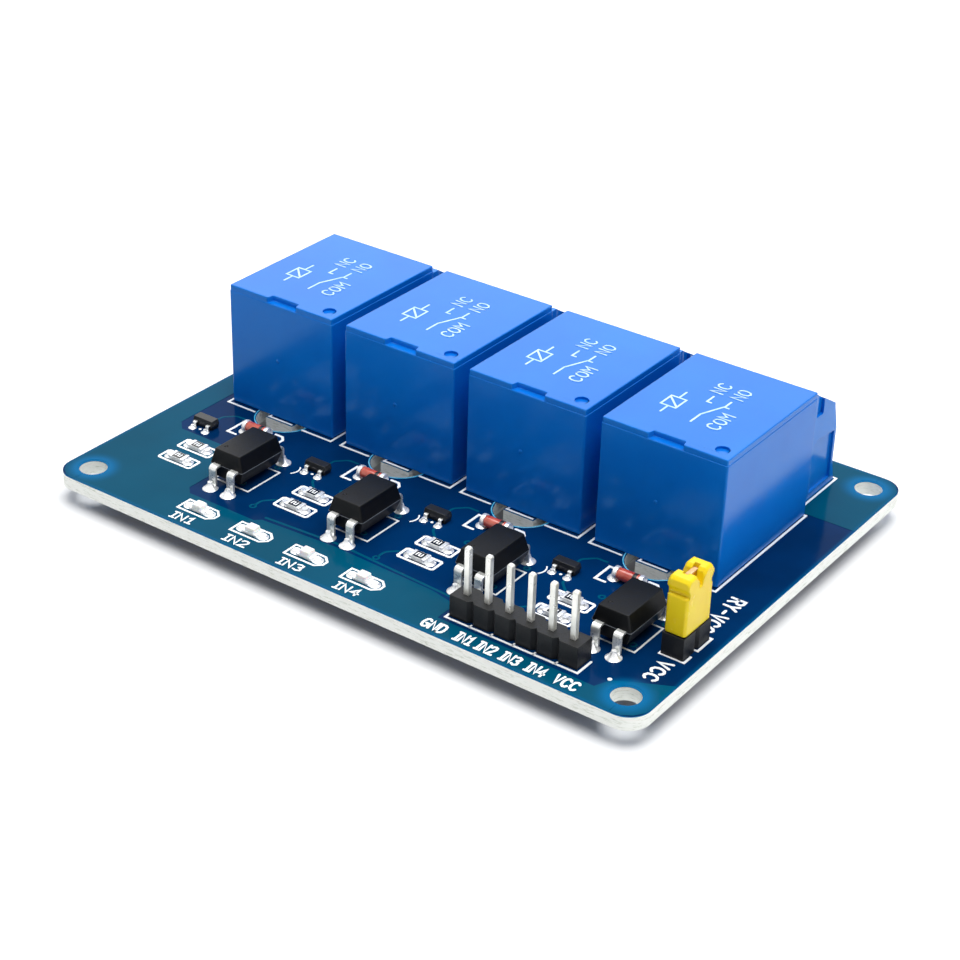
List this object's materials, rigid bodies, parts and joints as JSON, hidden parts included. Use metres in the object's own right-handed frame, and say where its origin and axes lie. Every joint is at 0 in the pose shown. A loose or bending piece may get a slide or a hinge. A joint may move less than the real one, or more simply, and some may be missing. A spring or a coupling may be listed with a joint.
{
  "type": "relay module board",
  "caption": "Circuit board with a row of sealed relays, screw terminals behind them, small driver parts in front, a pin header and a jumper cap.",
  "frame": {"origin": "under the middle of the board, on the plane of the pin ends below it", "axes": "+X along the row of relays, toward the control header; +Y from the control header to the screw terminals; +Z out of the component side"},
  "size_m": [0.076, 0.056, 0.0186],
  "materials": {
    "circuit_board": "glossy blue solder mask over laminate",
    "relay_case": "smooth moulded",
    "relay_pins": "tinned",
    "terminal_housing": "smooth moulded",
    "terminal_contacts": "tinned",
    "terminal_screw": "zinc plated",
    "wire_clamp": "zinc plated",
    "optocoupler": "fine matt mould texture",
    "chip_leads": "tinned",
    "transistor_bodies": "fine matt mould texture",
    "diode_glass": "orange glass",
    "diode_caps": "tinned",
    "resistor_bodies": "black coat on ceramic",
    "chip_ends": "tinned",
    "indicator_lamps": "clear resin lens",
    "header_plastic": "moulded black",
    "header_posts": "plated",
    "jumper_cap": "smooth moulded yellow",
    "jumper_clip": "spring brass"
  },
  "bodies": {
    "board": {"circuit_board": "circuit_board", "relay_pins": "relay_pins", "relay_case_1": "relay_case", "relay_case_2": "relay_case", "relay_case_3": "relay_case", "relay_case_4": "relay_case", "terminal_housing_1": "terminal_housing", "terminal_housing_2": "terminal_housing", "terminal_housing_3": "terminal_housing", "terminal_housing_4": "terminal_housing", "terminal_contacts_1": "terminal_contacts", "terminal_contacts_2": "terminal_contacts", "terminal_contacts_3": "terminal_contacts", "terminal_contacts_4": "terminal_contacts", "optocoupler_1": "optocoupler", "optocoupler_2": "optocoupler", "optocoupler_3": "optocoupler", "optocoupler_4": "optocoupler", "optocoupler_leads": "chip_leads", "transistor_bodies": "transistor_bodies", "transistor_leads": "chip_leads", "diode_glass": "diode_glass", "diode_caps": "diode_caps", "resistor_bodies": "resistor_bodies", "resistor_ends": "chip_ends", "indicator_lamps": "indicator_lamps", "indicator_ends": "chip_ends", "header_strip": "header_plastic", "header_posts": "header_posts", "jumper_strip": "header_plastic", "jumper_posts": "header_posts"},
    "screw_1_left": {"terminal_screw_1_left": "terminal_screw"},
    "clamp_1_left": {"wire_clamp_1_left": "wire_clamp"},
    "screw_1_middle": {"terminal_screw_1_middle": "terminal_screw"},
    "clamp_1_middle": {"wire_clamp_1_middle": "wire_clamp"},
    "screw_1_right": {"terminal_screw_1_right": "terminal_screw"},
    "clamp_1_right": {"wire_clamp_1_right": "wire_clamp"},
    "screw_2_left": {"terminal_screw_2_left": "terminal_screw"},
    "clamp_2_left": {"wire_clamp_2_left": "wire_clamp"},
    "screw_2_middle": {"terminal_screw_2_middle": "terminal_screw"},
    "clamp_2_middle": {"wire_clamp_2_middle": "wire_clamp"},
    "screw_2_right": {"terminal_screw_2_right": "terminal_screw"},
    "clamp_2_right": {"wire_clamp_2_right": "wire_clamp"},
    "screw_3_left": {"terminal_screw_3_left": "terminal_screw"},
    "clamp_3_left": {"wire_clamp_3_left": "wire_clamp"},
    "screw_3_middle": {"terminal_screw_3_middle": "terminal_screw"},
    "clamp_3_middle": {"wire_clamp_3_middle": "wire_clamp"},
    "screw_3_right": {"terminal_screw_3_right": "terminal_screw"},
    "clamp_3_right": {"wire_clamp_3_right": "wire_clamp"},
    "screw_4_left": {"terminal_screw_4_left": "terminal_screw"},
    "clamp_4_left": {"wire_clamp_4_left": "wire_clamp"},
    "screw_4_middle": {"terminal_screw_4_middle": "terminal_screw"},
    "clamp_4_middle": {"wire_clamp_4_middle": "wire_clamp"},
    "screw_4_right": {"terminal_screw_4_right": "terminal_screw"},
    "clamp_4_right": {"wire_clamp_4_right": "wire_clamp"},
    "jumper": {"jumper_cap": "jumper_cap", "jumper_clip": "jumper_clip"}
  },
  "joints": [
    {"name": "turn_screw_1_left", "type": "hinge", "parent": "board", "child": "screw_1_left", "pos_m": [-0.03235, 0.0196, 0.0126], "axis": [0, 0, 1], "range_deg": [-1440, 0]},
    {"name": "rise_clamp_1_left", "type": "slide", "parent": "board", "child": "clamp_1_left", "axis": [0, 0, 1], "range_m": [0, 0.002]},
    {"name": "turn_screw_1_middle", "type": "hinge", "parent": "board", "child": "screw_1_middle", "pos_m": [-0.02735, 0.0196, 0.0126], "axis": [0, 0, 1], "range_deg": [-1440, 0]},
    {"name": "rise_clamp_1_middle", "type": "slide", "parent": "board", "child": "clamp_1_middle", "axis": [0, 0, 1], "range_m": [0, 0.002]},
    {"name": "turn_screw_1_right", "type": "hinge", "parent": "board", "child": "screw_1_right", "pos_m": [-0.02235, 0.0196, 0.0126], "axis": [0, 0, 1], "range_deg": [-1440, 0]},
    {"name": "rise_clamp_1_right", "type": "slide", "parent": "board", "child": "clamp_1_right", "axis": [0, 0, 1], "range_m": [0, 0.002]},
    {"name": "turn_screw_2_left", "type": "hinge", "parent": "board", "child": "screw_2_left", "pos_m": [-0.0155, 0.0196, 0.0126], "axis": [0, 0, 1], "range_deg": [-1440, 0]},
    {"name": "rise_clamp_2_left", "type": "slide", "parent": "board", "child": "clamp_2_left", "axis": [0, 0, 1], "range_m": [0, 0.002]},
    {"name": "turn_screw_2_middle", "type": "hinge", "parent": "board", "child": "screw_2_middle", "pos_m": [-0.0105, 0.0196, 0.0126], "axis": [0, 0, 1], "range_deg": [-1440, 0]},
    {"name": "rise_clamp_2_middle", "type": "slide", "parent": "board", "child": "clamp_2_middle", "axis": [0, 0, 1], "range_m": [0, 0.002]},
    {"name": "turn_screw_2_right", "type": "hinge", "parent": "board", "child": "screw_2_right", "pos_m": [-0.0055, 0.0196, 0.0126], "axis": [0, 0, 1], "range_deg": [-1440, 0]},
    {"name": "rise_clamp_2_right", "type": "slide", "parent": "board", "child": "clamp_2_right", "axis": [0, 0, 1], "range_m": [0, 0.002]},
    {"name": "turn_screw_3_left", "type": "hinge", "parent": "board", "child": "screw_3_left", "pos_m": [0.00135, 0.0196, 0.0126], "axis": [0, 0, 1], "range_deg": [-1440, 0]},
    {"name": "rise_clamp_3_left", "type": "slide", "parent": "board", "child": "clamp_3_left", "axis": [0, 0, 1], "range_m": [0, 0.002]},
    {"name": "turn_screw_3_middle", "type": "hinge", "parent": "board", "child": "screw_3_middle", "pos_m": [0.00635, 0.0196, 0.0126], "axis": [0, 0, 1], "range_deg": [-1440, 0]},
    {"name": "rise_clamp_3_middle", "type": "slide", "parent": "board", "child": "clamp_3_middle", "axis": [0, 0, 1], "range_m": [0, 0.002]},
    {"name": "turn_screw_3_right", "type": "hinge", "parent": "board", "child": "screw_3_right", "pos_m": [0.01135, 0.0196, 0.0126], "axis": [0, 0, 1], "range_deg": [-1440, 0]},
    {"name": "rise_clamp_3_right", "type": "slide", "parent": "board", "child": "clamp_3_right", "axis": [0, 0, 1], "range_m": [0, 0.002]},
    {"name": "turn_screw_4_left", "type": "hinge", "parent": "board", "child": "screw_4_left", "pos_m": [0.0182, 0.0196, 0.0126], "axis": [0, 0, 1], "range_deg": [-1440, 0]},
    {"name": "rise_clamp_4_left", "type": "slide", "parent": "board", "child": "clamp_4_left", "axis": [0, 0, 1], "range_m": [0, 0.002]},
    {"name": "turn_screw_4_middle", "type": "hinge", "parent": "board", "child": "screw_4_middle", "pos_m": [0.0232, 0.0196, 0.0126], "axis": [0, 0, 1], "range_deg": [-1440, 0]},
    {"name": "rise_clamp_4_middle", "type": "slide", "parent": "board", "child": "clamp_4_middle", "axis": [0, 0, 1], "range_m": [0, 0.002]},
    {"name": "turn_screw_4_right", "type": "hinge", "parent": "board", "child": "screw_4_right", "pos_m": [0.0282, 0.0196, 0.0126], "axis": [0, 0, 1], "range_deg": [-1440, 0]},
    {"name": "rise_clamp_4_right", "type": "slide", "parent": "board", "child": "clamp_4_right", "axis": [0, 0, 1], "range_m": [0, 0.002]},
    {"name": "pull_jumper", "type": "slide", "parent": "board", "child": "jumper", "axis": [0, 0, 1], "range_m": [0, 0.0065]}
  ],
  "couplings": [
    {"joint": "turn_screw_1_left", "follows": "rise_clamp_1_left", "rad_per_m": -12565},
    {"joint": "turn_screw_1_middle", "follows": "rise_clamp_1_middle", "rad_per_m": -12565},
    {"joint": "turn_screw_1_right", "follows": "rise_clamp_1_right", "rad_per_m": -12565},
    {"joint": "turn_screw_2_left", "follows": "rise_clamp_2_left", "rad_per_m": -12565},
    {"joint": "turn_screw_2_middle", "follows": "rise_clamp_2_middle", "rad_per_m": -12565},
    {"joint": "turn_screw_2_right", "follows": "rise_clamp_2_right", "rad_per_m": -12565},
    {"joint": "turn_screw_3_left", "follows": "rise_clamp_3_left", "rad_per_m": -12565},
    {"joint": "turn_screw_3_middle", "follows": "rise_clamp_3_middle", "rad_per_m": -12565},
    {"joint": "turn_screw_3_right", "follows": "rise_clamp_3_right", "rad_per_m": -12565},
    {"joint": "turn_screw_4_left", "follows": "rise_clamp_4_left", "rad_per_m": -12565},
    {"joint": "turn_screw_4_middle", "follows": "rise_clamp_4_middle", "rad_per_m": -12565},
    {"joint": "turn_screw_4_right", "follows": "rise_clamp_4_right", "rad_per_m": -12565}
  ]
}
